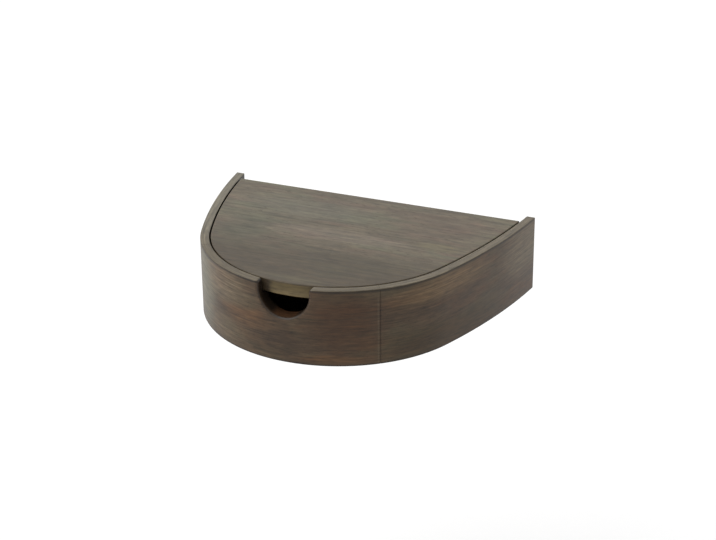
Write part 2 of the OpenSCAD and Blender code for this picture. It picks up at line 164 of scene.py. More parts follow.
def shell_mesh(name, rings, grain=None):
    """Closed skins over rings of points, shaped (ring, point on it, 3), or one more for many skins.

    Each point joins the next on its ring and its like on the next ring. The first and last rings
    are closed by one flat face each. Faces point outwards when a ring turns clockwise as seen
    from the ring after it.
    """
    index = np.arange(rings.size // 3).reshape(-1, *rings.shape[-3:-1])
    beside = np.roll(index, -1, axis=2)
    quads = np.stack([index[:, :-1], beside[:, :-1], beside[:, 1:], index[:, 1:]], axis=-1)
    faces = quads.reshape(-1, 4).tolist() + index[:, 0, ::-1].tolist() + index[:, -1].tolist()
    mesh = bpy.data.meshes.new(name)
    mesh.from_pydata(rings.reshape(-1, 3).tolist(), [], faces)
    if grain is not None:
        mesh.attributes.new("grain", "FLOAT_VECTOR", "POINT")
        mesh.attributes["grain"].data.foreach_set("vector", grain.astype(np.float32).ravel())
    mesh.shade_smooth()
    mesh.set_sharp_from_angle(angle=SHELL_TURN)
    piece = bpy.data.objects.new(name, mesh)
    bpy.context.scene.collection.objects.link(piece)
    return piece


def rim_wall(name, run, top_z, out, lean, foot_run, inset, ease):
    """One segment of the rim, as a section carried along the bend.

    Station by station: the run and height of the upper boundary, its outward direction in the
    face, the lean (run gained per depth), the run at the foot, how far the section shrinks and
    the radius of the boundary's outer edge.
    A point's run and height lie on the line from foot to boundary, or a rounding's width from
    them: radius times one minus the sine or cosine. Its depth counts in from the outer face.
    Where the boundary lies below the ledge, in the notch, the lip's and the ledge's rows lie on
    the cut, a little apart.
    """
    up = np.array([0.0, 1.0])
    foot = np.stack([foot_run, base_z + inset], axis=-1)
    head = np.stack([run, top_z], axis=-1) - out * inset[:, None]
    sines, cosines = quarter(EDGE_STEPS)
    rows = []

    def row(place, depth):
        rows.append((place, np.broadcast_to(depth, inset.shape)))

    def face(low, high, depth, shares):
        for share in shares:
            row(low + (high - low) * share, depth)

    def at_height(low, high, z):
        share = np.minimum((z - low[:, 1]) / (high[:, 1] - low[:, 1]), 1)
        return low + (high - low) * share[:, None]

    outer_r = np.maximum(RIM_OUTER_EASE - inset, LEAST_EASE)
    head_r = np.maximum(ease - inset, LEAST_EASE)
    inner_r = np.maximum(RIM_INNER_EASE - inset, LEAST_EASE)
    outer_foot = foot + up * outer_r[:, None]
    outer_head = head - out * head_r[:, None]
    ledge = at_height(foot, head, ledge_z - inset)
    lip_height = head[:, 1] - ledge[:, 1]
    lip_r = np.minimum(inner_r, lip_height / 4)
    lip_depth = LIP_T - inset
    closed_up = 1 - np.clip(lip_height / CORNER_BLEND, 0, 1)
    upward = np.clip((head[:, 1] - ledge_z) / (2 * CORNER_BLEND) + 0.5, 0, 1)[:, None]
    ledge_out = out * (1 - upward) + up * upward
    ledge_out /= np.linalg.norm(ledge_out, axis=1)[:, None]
    inner_foot = foot + up * inner_r[:, None]
    inner_head = ledge - ledge_out * inner_r[:, None]
    inner_depth = RIM_T - inset

    # Lower outer edge, outer face, upper outer edge
    for sine, cosine in zip(sines, cosines):
        row(foot + up * (outer_r * (1 - cosine))[:, None], inset + outer_r * (1 - sine))
    row(outer_foot + up * SUPPORT, inset)
    face(outer_foot, outer_head, inset, np.linspace(0, 1, OUTER_ROWS)[1:-1])
    row(outer_head - out * SUPPORT, inset)
    for sine, cosine in zip(sines, cosines):
        row(head - out * (head_r * (1 - sine))[:, None], inset + head_r * (1 - cosine))
    # Upper face, the lip's inner edge and inner face
    row(head, inset + head_r + SUPPORT)
    row(head, lip_depth - lip_r - SUPPORT)
    for step, (sine, cosine) in enumerate(zip(sines, cosines)):
        gap = closed_up * step * ROW_STEP
        row(head - out * (lip_r * (1 - cosine))[:, None], lip_depth - lip_r * (1 - sine) + gap)
    row(ledge, lip_depth + closed_up * len(sines) * ROW_STEP)
    # The ledge and its inner edge
    row(ledge, inner_depth - inner_r - SUPPORT)
    for sine, cosine in zip(sines, cosines):
        row(ledge - ledge_out * (inner_r * (1 - cosine))[:, None], inner_depth - inner_r * (1 - sine))
    # Inner face down to the groove, the groove, and on to the foot
    row(inner_head - ledge_out * SUPPORT, inner_depth)
    groove_top = bottom_high.z + GROOVE_PLAY + inset
    groove_low = bottom_low.z - GROOVE_PLAY - inset
    groove_depth = RIM_T - GROOVE_D - inset
    upper_lip = at_height(inner_foot, inner_head, groove_top)
    lower_lip = at_height(inner_foot, inner_head, groove_low)
    face(inner_head, upper_lip, inner_depth, np.linspace(0, 1, INNER_ROWS)[1:])
    row(upper_lip, groove_depth)
    row(lower_lip, groove_depth)
    row(lower_lip, inner_depth)
    row(inner_foot + up * SUPPORT, inner_depth)
    # Lower inner edge, lower face
    for sine, cosine in zip(sines, cosines):
        row(foot + up * (inner_r * (1 - sine))[:, None], inner_depth - inner_r * (1 - cosine))
    row(foot, inner_depth - inner_r - SUPPORT)
    row(foot, inset + outer_r + SUPPORT)

    place = np.stack([p for p, _ in rows], axis=1)
    depth = np.stack([d for _, d in rows], axis=1)
    along = place[..., 0] + lean[:, None] * depth
    points = bent(along, depth, place[..., 1])
    grain = np.stack([along, depth, place[..., 1]], axis=-1)
    return shell_mesh(name, points[:, ::-1], grain[:, ::-1])


def eased_ends(start, end, start_ease, end_ease, spacing):
    """Runs from start to end, with the extra ones that a rounded end needs, and their insets.

    In a rounded end a section lies radius * (1 - sine) short of the end and shrinks by
    radius * (1 - cosine).
    """
    sines, cosines = quarter(3)
    count = int(round((end - start - start_ease - end_ease) / spacing))
    middle = np.linspace(start + start_ease + SUPPORT, end - end_ease - SUPPORT, count)
    run = np.concatenate([
        start + start_ease * (1 - sines[::-1]), middle, end - end_ease * (1 - sines)
    ])
    inset = np.concatenate([
        start_ease * (1 - cosines[::-1]), np.zeros(count), end_ease * (1 - cosines)
    ])
    return run, inset


def side_wall(name, side, seam_run):
    """A side segment, from the glue line to the wall, where its end lies in the wall's plane.

    The lean that turns the section into that plane grows evenly along the segment.
    """
    start = seam_run + GLUE
    end = end_run(0)
    run, inset = eased_ends(start, end, SEAM_EASE, RIM_END_EASE, SIDE_SPACING)
    lean = (end_run(RIM_T) - end) / RIM_T * (run - start) / (end - start)
    out = np.tile([0.0, 1.0], (len(run), 1))
    if side < 0:
        run, lean, inset = -run[::-1], -lean[::-1], inset[::-1]
    top_z = np.full(len(run), rim_top_z)
    return rim_wall(name, run, top_z, out, lean, run, inset, np.full(len(run), RIM_OUTER_EASE))


def notch_boundary():
    """Right half of the front wall's upper boundary, from under the notch to the notch's corner.

    The low stretch is a quarter circle about the notch's centre, then the side rises plumb, and
    the corner is a quarter circle that turns the other way. Gives X, Z and the outward direction.
    """
    half = NOTCH_W / 2
    corner_z = rim_top_z - NOTCH_CORNER_R
    sines, cosines = quarter(40)
    rise = np.linspace(notch_z + half, corner_z, 6)[1:-1]
    corner_sines, corner_cosines = quarter(8)
    x = np.concatenate([
        half * sines, np.full_like(rise, half), half + NOTCH_CORNER_R * (1 - corner_cosines)
    ])
    z = np.concatenate([
        notch_z + half * (1 - cosines), rise, corner_z + NOTCH_CORNER_R * corner_sines
    ])
    out_x = np.concatenate([-sines, np.full_like(rise, -1), -corner_cosines])
    out_z = np.concatenate([cosines, np.zeros_like(rise), corner_sines])
    return x, z, out_x, out_z


def front_half(seam_run):
    """Right half of the front segment, from under the notch to a glue line, station by station.

    A cut that keeps its X through the wall gains run with depth: FRONT_R * asin(X / (FRONT_R -
    depth)). That lean fades to nothing at the glue line, as the cosine of a half turn does. At
    the foot the runs under the notch are spread evenly over the boundary's length. The outer
    edge's radius falls from the notch's to the rim's round the corner, with the outward
    direction's sideways part.
    """
    x, z, out_x, out_z = notch_boundary()
    notch_run = FRONT_R * np.arcsin(x / FRONT_R)
    corner = notch_run[-1]
    run, inset = eased_ends(corner, seam_run - GLUE, 0, SEAM_EASE, FRONT_SPACING)
    keep = run > corner + LEAST_SPACING
    run, inset = run[keep], inset[keep]
    notch_steps = np.hypot(np.diff(notch_run), np.diff(z))
    boundary = np.concatenate([[0], np.cumsum(notch_steps)])
    spread_to = corner + FOOT_SPREAD
    boundary_to = boundary[-1] + spread_to - corner
    straight = run - corner + boundary[-1]
    foot = np.concatenate([boundary, straight]) * spread_to / boundary_to
    run = np.concatenate([notch_run, run])
    foot_run = np.where(run > spread_to, run, foot)
    extra = len(run) - len(x)
    inset = np.concatenate([np.zeros(len(x)), inset])
    top_z = np.concatenate([z, np.full(extra, rim_top_z)])
    out = np.stack([
        np.concatenate([out_x, np.zeros(extra)]), np.concatenate([out_z, np.ones(extra)])
    ], axis=-1)
    plumb = FRONT_R * np.arcsin(np.sin(run / FRONT_R) * FRONT_R / (FRONT_R - RIM_T)) - run
    fade = np.clip((run - corner) / (seam_run - corner), 0, 1)
    lean = plumb / RIM_T * (1 + np.cos(math.pi * fade)) / 2
    at_corner = np.concatenate([z > rim_top_z - NOTCH_CORNER_R, np.ones(extra, dtype=bool)])
    notched = np.where(at_corner, np.abs(out[:, 0]), 1.0)
    ease = RIM_OUTER_EASE + (NOTCH_EASE - RIM_OUTER_EASE) * notched
    return run, top_z, out, lean, foot_run, inset, ease


def front_wall():
    """The front segment, with the finger notch cut plumb through it: two halves, one mirrored."""
    right = front_half(RIGHT_SEAM_RUN)
    left = [part[:0:-1] for part in front_half(LEFT_SEAM_RUN)]
    signs = (-1, 1, np.array([-1, 1]), -1, -1, 1, 1)
    whole = [np.concatenate([sign * a, b]) for sign, a, b in zip(signs, left, right)]
    return rim_wall("front_wall_bent", *whole)


def top_board():
    """The fixed top: rings round its outline, from the upper face over the edge to the lower face.

    The outline is the rim's, moved in by the rim and the gap and cut off straight at the back. A
    ring of a rounded edge lies radius * (1 - sine) in and radius * (1 - cosine) up or down.
    """
    edge_depth = LIP_T + TOP_GAP
    sweep = np.linspace(-1, 1, 361)
    across = np.linspace(1, -1, 122)[1:-1]

    def ring(inset, z):
        depth = edge_depth + inset
        back_y = top_high.y - inset
        turn = math.acos((side_cy - back_y) / (SIDE_R - depth))
        curve = bent(sweep * (tangent_run + SIDE_R * (turn - tangent_a)), depth, z)
        flat = np.tile(curve[-1], (len(across), 1))
        flat[:, 0] *= across
        return np.concatenate([curve, flat])

    sines, cosines = quarter(6)
    low_sines, low_cosines = quarter(3)
    inner = TOP_EASE + TOP_FACE_INSET
    rings = [ring(inner, top_high.z), ring(TOP_EASE + SUPPORT, top_high.z)]
    for sine, cosine in zip(sines, cosines):
        rings.append(ring(TOP_EASE * (1 - sine), top_high.z - TOP_EASE * (1 - cosine)))
    rings.append(ring(0, top_high.z - TOP_EASE - SUPPORT))
    rings.append(ring(0, top_low.z + TOP_UNDER_EASE + SUPPORT))
    for sine, cosine in zip(low_sines[::-1], low_cosines[::-1]):
        rings.append(ring(TOP_UNDER_EASE * (1 - sine), top_low.z + TOP_UNDER_EASE * (1 - cosine)))
    rings.append(ring(TOP_UNDER_EASE + SUPPORT, top_low.z))
    rings.append(ring(inner, top_low.z))
    return shell_mesh("top_panel_eased", np.stack(rings)[:, ::-1])


def eased_copy(node, width):
    """A copy of a CAD node, its loose triangles merged, with its square edges rounded over.

    Edges that turn by less than SQUARE_TURN, such as a countersink's rim, stay as they are.
    """
    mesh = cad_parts[node].data.copy()
    work = bmesh.new()
    work.from_mesh(mesh)
    bmesh.ops.remove_doubles(work, verts=work.verts, dist=MERGE)
    bmesh.ops.dissolve_limit(work, angle_limit=LEVEL_TURN, verts=work.verts, edges=work.edges)
    work.to_mesh(mesh)
    work.free()
    mesh.materials.clear()
    mesh.shade_smooth()
    mesh.set_sharp_from_angle(angle=COPY_TURN)
    piece = bpy.data.objects.new(node + "_eased", mesh)
    bpy.context.scene.collection.objects.link(piece)
    bevel = piece.modifiers.new("eased edges", "BEVEL")
    bevel.width = width
    bevel.segments = 2
    bevel.limit_method = "ANGLE"
    bevel.angle_limit = SQUARE_TURN
    bevel.harden_normals = True
    return piece


# A screw's cross recess, as shares of its head's radius: arm, half width and depth, and how large
# its floor is beside its mouth
RECESS_ARM, RECESS_HALF_WIDTH, RECESS_DEPTH, RECESS_FLOOR = 0.5, 0.13, 0.4, 0.5
# Its thread, as shares of its shank's radius: pitch, root, height, and the length of the point
THREAD_PITCH, THREAD_ROOT, THREAD_HEIGHT, POINT_LENGTH = 0.9, 0.72, 0.26, 2
THREAD_START = 0.3 * MM
RINGS_PER_TURN = 5


def screw_rings(head_r, head_h, shank_r, length):
    """Rings down one screw that stands on its point: recess, head, thread and point.

    Round the screw, the cross recess lies at the nearer of arm / cosine and half width / sine
    of the angle from its arm. A pan head's height falls as the root of 1 - (radius / head)^3,
    and a countersunk head is flat, with a cone under it. The thread swings the radius in and
    out as a triangle wave of height / pitch plus the share of the turn.
    """
    arm, arm_half = RECESS_ARM * head_r, RECESS_HALF_WIDTH * head_r
    tip_angle = math.atan2(arm_half, arm)
    quadrant = np.array([-math.pi / 4, -0.5, -tip_angle, 0, tip_angle, 0.5])
    angle = (quadrant[None, :] + np.arange(4)[:, None] * math.pi / 2).ravel()
    fold = np.tile(np.abs(quadrant), 4)
    cross = np.minimum(arm / np.cos(fold), arm_half / np.maximum(np.sin(fold), 0.01))
    rings = []

    def ring(radius, height):
        radius, height = np.broadcast_to(radius, angle.shape), np.broadcast_to(height, angle.shape)
        rings.append(np.stack([radius * np.cos(angle), radius * np.sin(angle), height], axis=-1))

    def crown(radius):
        return head_h * np.sqrt(np.maximum(1 - (radius / head_r) ** 3, 0))

    ring(RECESS_FLOOR * cross, crown(0) - RECESS_DEPTH * head_r)
    for share in (0, 0.3, 0.6, 0.8, 0.92, 0.98):
        radius = cross + (head_r - cross) * share
        ring(radius, crown(radius))
    ring(head_r, 0)
    neck = 0 if head_h else head_r - shank_r
    ring(shank_r, -neck - 0.02 * MM)
    pitch = THREAD_PITCH * shank_r
    point = length - POINT_LENGTH * shank_r
    for height in np.arange(neck + THREAD_START, point, pitch / RINGS_PER_TURN):
        wave = np.abs(2 * np.mod(height / pitch + angle / (2 * math.pi), 1) - 1)
        ring(shank_r * (THREAD_ROOT + THREAD_HEIGHT * wave), -height)
    ring(0.6 * shank_r, -length + 1.4 * shank_r)
    ring(0.08 * shank_r, -length)
    return np.stack(rings)


def screws(name, rings, places):
    """One mesh of like screws. A place is where the head sits and the way the head points."""
    shells = []
    for origin, way in places:
        way = np.array(way, dtype=float)
        side = np.array([1.0, 0, 0]) if way[2] else np.array([0, 0, 1.0])
        turned = np.stack([side, np.cross(way, side), way])
        shells.append(rings[:, ::-1] @ turned + np.array(origin))
    return shell_mesh(name, np.stack(shells))


# Materials

def linear(code):
    """Linear red, green, blue and alpha of an sRGB hex colour, by the sRGB curve."""
    parts = [int(code[i:i + 2], 16) / 255 for i in (1, 3, 5)]
    return tuple(c / 12.92 if c <= 0.04045 else ((c + 0.055) / 1.055) ** 2.4 for c in parts) + (1.0,)


def add(tree, kind, inputs=None, stops=None, **settings):
    """Adds a node with its settings, and sets or links its inputs, named or numbered.

    An input takes a plain value, an output socket, or a node, which stands for its first output.
    `stops` are a colour ramp's places and hex colours.
    """
    made = tree.nodes.new("ShaderNode" + kind)
    for key, value in settings.items():
        setattr(made, key, value)
    for key, value in (inputs or {}).items():
        if isinstance(value, bpy.types.Node):
            value = value.outputs[0]
        if isinstance(value, bpy.types.NodeSocket):
            tree.links.new(value, made.inputs[key])
        else:
            made.inputs[key].default_value = value
    if stops:
        ramp = made.color_ramp.elements
        while len(ramp) < len(stops):
            ramp.new(0.5)
        for element, (place, code) in zip(ramp, stops):
            element.position = place
            element.color = linear(code)
    return made


# A Mix node's inputs and output for colours
MIX_A, MIX_B, MIX_RESULT = 6, 7, 2
# The span that a noise hardly leaves, as a Map Range node takes it
NOISE_SPAN = {"From Min": 0.3, "From Max": 0.7}
# How far a spot's outline wanders, in mm along, across and up the grain
WANDER = (24, 9, 9)


def new_material(name):
    """An empty material with a Principled surface. Gives the material, its tree and the surface."""
    material = bpy.data.materials.new(name)
    material.use_nodes = True
    tree = material.node_tree
    tree.nodes.clear()
    surface = add(tree, "BsdfPrincipled")
    add(tree, "OutputMaterial", {"Surface": surface})
    return material, tree, surface


def grain_noise(tree, grain, length, width, detail=2.0, rough=0.5, bend=0.0):
    """Noise drawn out along the grain: one cell is `length` long and `width` wide."""
    scaled = add(tree, "Mapping", {
        "Vector": grain, "Scale": (1 / length, 1 / width, 1 / width)
    })
    return add(tree, "TexNoise", {
        "Vector": scaled, "Scale": 1.0, "Detail": detail, "Roughness": rough, "Distortion": bend
    })


def weigh(tree, layers, middle=0.5):
    """Adds up layers: middle plus, for each (noise, weight), weight * (noise - 0.5)."""
    total = middle - sum(weight for _, weight in layers) / 2
    for noise, weight in layers:
        total = add(tree, "Math", {0: noise, 1: weight, 2: total}, operation="MULTIPLY_ADD")
    return total


def apart(tree, value, middle):
    """How far a value lies from a middle one: the size of value - middle."""
    off = add(tree, "Math", {0: value, 1: middle}, operation="SUBTRACT")
    return add(tree, "Math", {0: off}, operation="ABSOLUTE")


def stained(tree, colour, towards, strength, *fades):
    """The colour, turned towards another by a strength from 0 to 1, where every fade is full.

    A fade is a value, where it starts and where it is full: it rises smoothly from 0 to 1 between
    them, and the fades multiply the strength. The other colour is a hex colour or a socket.
    """
    for value, start, full in fades:
        strength = add(tree, "MapRange", {
            "Value": value, "From Min": start, "From Max": full, "To Min": 0.0, "To Max": strength
        }, interpolation_type="SMOOTHSTEP")
    if isinstance(towards, str):
        towards = linear(towards)
    mixed = add(tree, "Mix", {0: strength, MIX_A: colour, MIX_B: towards}, data_type="RGBA")
    return mixed.outputs[MIX_RESULT]


def spotted(tree, colour, grain, streaks, spots):
    """Lays soft oval spots over a colour: place and half size in mm, how strong, and a hex colour.

    A spot is full within a quarter of its size and fades out at its rim, which wanders a little.
    The wood's streaks show through it.
    """
    wander = grain_noise(tree, grain, 45 * MM, 14 * MM, detail=2)
    place = add(tree, "VectorMath", {
        0: wander.outputs["Color"], 1: [far * MM for far in WANDER], 2: grain
    }, operation="MULTIPLY_ADD")
    for centre, half_size, strength, code in spots:
        near = add(tree, "Mapping", {
            "Vector": place, "Scale": [1 / (size * MM) for size in half_size],
            "Location": [-(c + far / 2) / size for c, far, size in zip(centre, WANDER, half_size)]
        })
        away = add(tree, "VectorMath", {0: near}, operation="LENGTH").outputs["Value"]
        through = add(tree, "MapRange", {
            "Value": streaks, **NOISE_SPAN, "To Min": 0.6 * strength, "To Max": strength
        })
        colour = stained(tree, colour, code, through, (away, 1.0, 0.25))
    return colour


def wood_figure(tree, grain, stain, contrast, wide):
    """The figure of plain-sawn hardwood: its colour, its fibre, its pores and its streaks.

    Soft clouds and blotches set the tone. Streaks a few millimetres wide, fine fibre and a
    mottle of flecks only darken or lighten it. Growth lines show where a long noise crosses its
    middle; pores are short dark dashes. Two wider noises turn the colour ruddy in some places
    and olive in others. `stain` holds the tones, the ruddy and the olive; `wide` is how far the
    cut lays the figure open.
    """
    tones, ruddy, olive = stain
    clouds = grain_noise(tree, grain, 90 * MM, 26 * MM, detail=3, bend=0.5)
    streaks = grain_noise(tree, grain, 70 * MM, wide * 2.4 * MM, detail=3, rough=0.6, bend=0.2)
    fibre = grain_noise(tree, grain, 20 * MM, wide * 1.2 * MM, detail=3, rough=0.65)
    flecks = grain_noise(tree, grain, 16 * MM, wide * 3.5 * MM, detail=2, bend=0.4)
    blotches = grain_noise(tree, grain, 26 * MM, 12 * MM, detail=3, rough=0.6)
    tone = weigh(tree, [
        (clouds, 1.0 * contrast), (streaks, 0.5 * contrast), (blotches, 0.9 * contrast)
    ])
    colour = add(tree, "ValToRGB", {"Fac": tone}, stops=tones).outputs["Color"]
    warm = grain_noise(tree, grain, 70 * MM, 20 * MM, detail=3, bend=0.6)
    colour = stained(tree, colour, ruddy, 0.5, (warm, 0.48, 0.68))
    cool = grain_noise(tree, grain, 95 * MM, 28 * MM, detail=3, bend=0.6)
    colour = stained(tree, colour, olive, 0.5, (cool, 0.48, 0.68))
    rings = grain_noise(tree, grain, 240 * MM, 26 * MM, detail=1, bend=0.3)
    colour = stained(tree, colour, "#2a2118", 0.2 * contrast, (apart(tree, rings, 0.5), 0.02, 0.0))
    pores = grain_noise(tree, grain, 8 * MM, wide * 1.4 * MM, detail=1)
    colour = stained(tree, colour, "#241b13", 0.5, (pores, 0.6, 0.74))
    shade = weigh(tree, [
        (streaks, 1.5 * contrast), (fibre, 1.3 * contrast), (flecks, 1.1 * contrast)
    ], middle=1.0)
    return colour, shade, fibre, pores, streaks


def lacquered(tree, surface, colour, shade, fibre, pores, streaks, roughness):
    """A thin satin lacquer: the fibre shows through in its gloss and its relief."""
    colour = add(tree, "VectorMath", {0: colour, "Scale": shade}, operation="SCALE").outputs[0]
    shine = add(tree, "MapRange", {
        "Value": fibre, **NOISE_SPAN, "To Min": roughness - 0.05, "To Max": roughness + 0.06
    })
    relief = weigh(tree, [(fibre, 0.5), (pores, -0.8), (streaks, 0.3)])
    bump = add(tree, "Bump", {"Strength": 0.2, "Distance": 0.1 * MM, "Height": relief})
    tree.links.new(colour, surface.inputs["Base Color"])
    tree.links.new(shine.outputs[0], surface.inputs["Roughness"])
    tree.links.new(bump.outputs[0], surface.inputs["Normal"])
    surface.inputs["IOR"].default_value = 1.38


RIM_STAIN = (
    [(0.0, "#33291d"), (0.35, "#473829"), (0.65, "#574533"), (1.0, "#6b563f")], "#5c412b", "#4b4634"
)
TOP_STAIN = (
    [(0.0, "#463e32"), (0.35, "#595040"), (0.65, "#675d4b"), (1.0, "#796f5b")], "#6a5748", "#5e5f49"
)


def rim_wood():
    """Hardwood bent round the rim, brown stain under a satin lacquer.

    To the eye: dark brown with soft ochre and grey-green clouds, and darker where the stain gathers
    in the glue lines. Painted light makes it lighter and greyer on the upper edge, at the left turn
    and towards the wall, and painted shade darkens it along the lower edge, in the rebate round the
    top and in the notch.
    """
    material, tree, surface = new_material("bent hardwood, brown stain, satin lacquer")
    grain = add(tree, "Attribute", attribute_name="grain").outputs["Vector"]
    place = add(tree, "SeparateXYZ", {0: grain})
    run, depth, height = place.outputs["X"], place.outputs["Y"], place.outputs["Z"]
    colour, shade, fibre, pores, streaks = wood_figure(tree, grain, RIM_STAIN, 0.87, 1.0)
    # Across, through and up the rim: grey-green at the left turn, a painted sheen where the wall
    # turns away, fading to light brown and ochre towards the notch, dark under the notch and
    # red-brown beside it, then a light upper and a dark lower half, and light again towards the wall,
    # a painted sheen too
    colour = spotted(tree, colour, grain, streaks, [
        ((-158, 0, 35), (54, 1000, 90), 0.7, "#75725e"),
        ((-98, 0, 59), (68, 1000, 38), 0.65, "#82715a"),
        ((-95, 0, -5), (50, 1000, 30), 0.5, "#6f6049"),
        ((-58, 0, 24), (56, 1000, 20), 0.5, "#735438"),
        ((-4, 0, 0), (46, 1000, 28), 0.7, "#3a2d22"),
        ((80, 0, 38), (66, 1000, 66), 0.75, "#3f2511"),
        ((62, 0, -17), (60, 1000, 9), 0.5, "#6b4a2b"),
        ((228, 0, 61), (120, 1000, 24), 0.75, "#7c6548"),
        ((235, 0, -6), (170, 1000, 34), 0.75, "#3a2c15"),
        ((415, 0, 50), (90, 1000, 54), 0.75, "#7b6e59"),
    ])
    # The stain gathers in the glue lines, and a light line beside the right one is a painted
    # highlight on its eased edge. Both fade out towards the upper edge
    below = (height, rim_top_z - 3 * MM, rim_top_z - 14 * MM)
    for line, half, code in [
        (RIGHT_SEAM_RUN, 2.0 * MM, "#2a1f15"),
        (-LEFT_SEAM_RUN, 2.0 * MM, "#2a1f15"),
        (RIGHT_SEAM_RUN - 2.8 * MM, 1.4 * MM, "#6b5f4c"),
    ]:
        colour = stained(tree, colour, code, 0.3, below, (apart(tree, run, line), half, 0.4 * MM))
    # Darker in a thin line just under the upper edge, and painted shade along the lower one, which
    # faces down
    under = (height, rim_top_z - 4.5 * MM, rim_top_z - 1.5 * MM)
    colour = stained(tree, colour, "#241b12", 0.8, under)
    foot = (height, base_z + 3.5 * MM, base_z + 1.2 * MM)
    colour = stained(tree, colour, "#1d1610", 0.7, foot)
    # Inside, the stain is duller; the rebate round the top is darkest, a painted shade
    colour = stained(tree, colour, "#33281c", 0.5, (depth, 1.5 * MM, 5 * MM))
    rebate = [
        (depth, LIP_T - 1 * MM, LIP_T - 0.1 * MM), (height, ledge_z - 1 * MM, ledge_z + 1 * MM)
    ]
    colour = stained(tree, colour, "#1c150e", 0.85, *rebate)
    # In the notch, painted shade darkens it from the rounding inwards and most deep in the cut, and
    # painted light keeps the cut face at its foot a lit ruddy brown
    notch = [
        (apart(tree, run, 0.0), NOTCH_W / 2 + 10 * MM, NOTCH_W / 2 + 4 * MM),
        (height, notch_z - 6 * MM, notch_z - 1 * MM),
    ]
    colour = stained(tree, colour, "#241a12", 0.75, *notch, (depth, 0.05 * MM, 1.2 * MM))
    colour = stained(tree, colour, "#130e09", 0.75, *notch, (depth, 4 * MM, 9 * MM))
    notch_foot_painted_light = [*notch, (height, rim_top_z - 38 * MM, rim_top_z - 42 * MM)]
    colour = stained(tree, colour, "#4a3220", 0.75, *notch_foot_painted_light, (depth, 2 * MM, 6 * MM))
    # On the upper edge, which faces up, painted light makes it light grey, and a painted sheen
    # lighter still towards the left end and the right one
    painted_edge_light = stained(tree, linear("#695f4c"), "#7d7665", 1.0, (run, -150 * MM, -260 * MM))
    painted_edge_light = stained(tree, painted_edge_light, "#726856", 1.0, (run, 90 * MM, 180 * MM))
    painted_edge_light_share = add(tree, "MapRange", {"Value": streaks, **NOISE_SPAN, "To Min": 0.63, "To Max": 0.9})
    edge = (height, rim_top_z - 0.9 * MM, rim_top_z - 0.2 * MM)
    colour = stained(tree, colour, painted_edge_light, painted_edge_light_share, edge)
    lacquered(tree, surface, colour, shade, fibre, pores, streaks, 0.42)
    return material


def top_wood():
    """The top's hardwood board, grey-brown stain under a satin lacquer.

    To the eye: an even grey-brown with grey-green and rosy clouds, darker towards the front, and
    stained darker on its edge, also standing in for the shade in the gap round it. Where the notch
    opens the edge, painted light turns it khaki, with a painted shadow at its left end.
    """
    material, tree, surface = new_material("hardwood board, grey-brown stain, satin lacquer")
    grain = add(tree, "TexCoord").outputs["Object"]
    place = add(tree, "SeparateXYZ", {0: grain})
    across, back, height = place.outputs["X"], place.outputs["Y"], place.outputs["Z"]
    colour, shade, fibre, pores, streaks = wood_figure(tree, grain, TOP_STAIN, 0.7, 1.8)
    colour = stained(tree, colour, "#423726", 0.75, (back, -165 * MM, -250 * MM))
    # Across and back: grey-green at the back left, ruddy at the back right and khaki in its
    # corners, a rosy light band through the middle that ends in khaki, dark olive at the left
    # and front, lighter along the front edge, and three thin dark streaks on the left
    colour = spotted(tree, colour, grain, streaks, [
        ((-70, -88, 0), (140, 46, 1000), 0.55, "#666657"),
        ((115, -80, 0), (90, 60, 1000), 0.5, "#5e4d40"),
        ((170, -22, 0), (60, 18, 1000), 0.5, "#61604a"),
        ((-150, -18, 0), (60, 14, 1000), 0.5, "#66634a"),
        ((10, -158, 0), (150, 26, 1000), 0.6, "#7a6e60"),
        ((140, -145, 0), (44, 18, 1000), 0.5, "#726a4c"),
        ((-125, -185, 0), (50, 60, 1000), 0.6, "#4d4e3c"),
        ((50, -238, 0), (100, 34, 1000), 0.5, "#413d2d"),
        ((0, -303, 0), (70, 12, 1000), 0.55, "#625b45"),
        ((-80, -128, 0), (70, 4, 1000), 0.6, "#413a2c"),
        ((-130, -150, 0), (50, 5, 1000), 0.6, "#444233"),
        ((-115, -173, 0), (40, 4, 1000), 0.6, "#3e3a2c"),
    ])
    # The edge is stained darker, also standing in for the shade in the gap round it. Where the notch
    # opens it at the front, painted light turns it khaki, lightest low down, and the lit window stops
    # short on the left, a painted shadow of the notch's left side
    edge = (height, rim_top_z - 0.8 * MM, rim_top_z - 2.5 * MM)
    lower = (height, rim_top_z - 5 * MM, rim_top_z - 15 * MM)
    painted_light_window = [
        (across, -27 * MM, -17 * MM), (across, 90 * MM, 30 * MM), (back, -270 * MM, -300 * MM)
    ]
    colour = stained(tree, colour, "#3c3225", 0.85, edge)
    colour = stained(tree, colour, "#645637", 0.85, edge, *painted_light_window)
    colour = stained(tree, colour, "#7c6c4b", 0.85, lower, *painted_light_window)
    lacquered(tree, surface, colour, shade, fibre, pores, streaks, 0.42)
    return material


def board_wood(name, stain, turn, roughness):
    """A straight board, its grain turned about Z to run along it, under a thin matt stain.

    To the eye: the same wood as the rim, plainer and drier, with its fibre and pores showing.
    """
    material, tree, surface = new_material(name)
    place = add(tree, "TexCoord").outputs["Object"]
    grain = add(tree, "Mapping", {"Vector": place, "Rotation": (0, 0, turn)}).outputs["Vector"]
    colour, shade, fibre, pores, streaks = wood_figure(tree, grain, stain, 0.85, 1.0)
    lacquered(tree, surface, colour, shade, fibre, pores, streaks, roughness)
    return material


# Turns that lay the grain along X or Y, and the stains of the straight boards, as wood_figure
# takes them: tones, ruddy and olive
ALONG_X, ALONG_Y = 0.0, math.pi / 2
STAINED = (
    [(0.0, "#3f3427"), (0.35, "#544736"), (0.65, "#655643"), (1.0, "#776852")], "#654a35", "#5b563f"
)
RAIL = (
    [(0.0, "#6a5238"), (0.35, "#7d6347"), (0.65, "#8f7354"), (1.0, "#a28665")], "#8a6546", "#7c7453"
)
PALE = (
    [(0.0, "#8f6f4b"), (0.35, "#b08e66"), (0.65, "#c6a67d"), (1.0, "#d9bd95")], "#b98a5e", "#b5a070"
)


